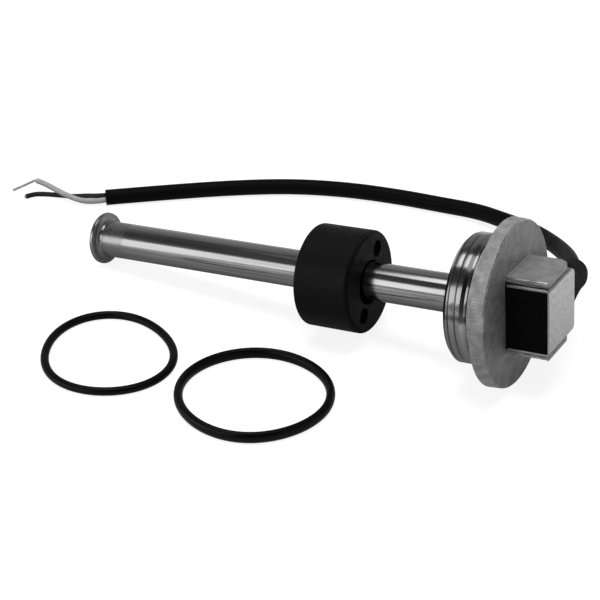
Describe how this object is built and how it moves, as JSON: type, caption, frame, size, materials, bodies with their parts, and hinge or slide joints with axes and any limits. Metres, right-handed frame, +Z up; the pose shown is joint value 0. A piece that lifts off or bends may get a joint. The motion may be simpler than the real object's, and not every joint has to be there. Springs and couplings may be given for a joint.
{
  "type": "tank level sender",
  "caption": "Stainless tank level sender: threaded flange head with folded cover and stripped cable, reed-switch stem with a sliding ring float, end stop, and loose seal rings.",
  "frame": {"origin": "middle of the footprint of everything but the cable, on the table that the sender lies on", "axes": "+X along the stem in plan, from the end stop to the flange head; +Y to the cable's side; +Z up"},
  "size_m": [0.2368, 0.167, 0.0539],
  "materials": {
    "cast_steel": "blasted cast stainless steel with a turned, threaded spigot",
    "cover_sheet": "fine brushed stainless sheet",
    "potting": "matt black potting compound",
    "boot_rubber": "satin black moulded rubber",
    "tube_steel": "polished drawn stainless tube",
    "turned_steel": "fine turned stainless steel",
    "board": "green glass-epoxy board",
    "capsule_glass": "clear pale green glass",
    "tinned_lead": "tinned wire",
    "chip_ceramic": "black chip body",
    "wire_jacket": "black wire insulation",
    "cable_jacket": "satin black flexible vinyl jacket",
    "white_jacket": "white wire insulation",
    "black_jacket": "black wire insulation",
    "tinned_strand": "twisted tinned copper strands",
    "seal_rubber": "satin black seal rubber",
    "float_plastic": "fine matt black moulded plastic",
    "magnet_ferrite": "grey-black sintered ferrite"
  },
  "bodies": {
    "sender": {"head_plug": "cast_steel", "cover_plate": "cover_sheet", "potting_block": "potting", "cable_boot": "boot_rubber", "stem_tube": "tube_steel", "end_stop": "turned_steel", "reed_board": "board", "reed_capsules": "capsule_glass", "reed_leads": "tinned_lead", "ladder_resistors": "chip_ceramic", "lead_wires": "wire_jacket", "cable": "cable_jacket", "white_core": "white_jacket", "black_core": "black_jacket", "white_core_strands": "tinned_strand", "black_core_strands": "tinned_strand", "seal_ring_small": "seal_rubber", "seal_ring_large": "seal_rubber"},
    "float": {"float_body": "float_plastic", "float_cap": "float_plastic", "float_magnet": "magnet_ferrite"}
  },
  "joints": [
    {"name": "float_slide", "type": "slide", "parent": "sender", "child": "float", "axis": [0.9934, 0, 0.1147], "range_m": [-0.086, 0.0347]}
  ]
}
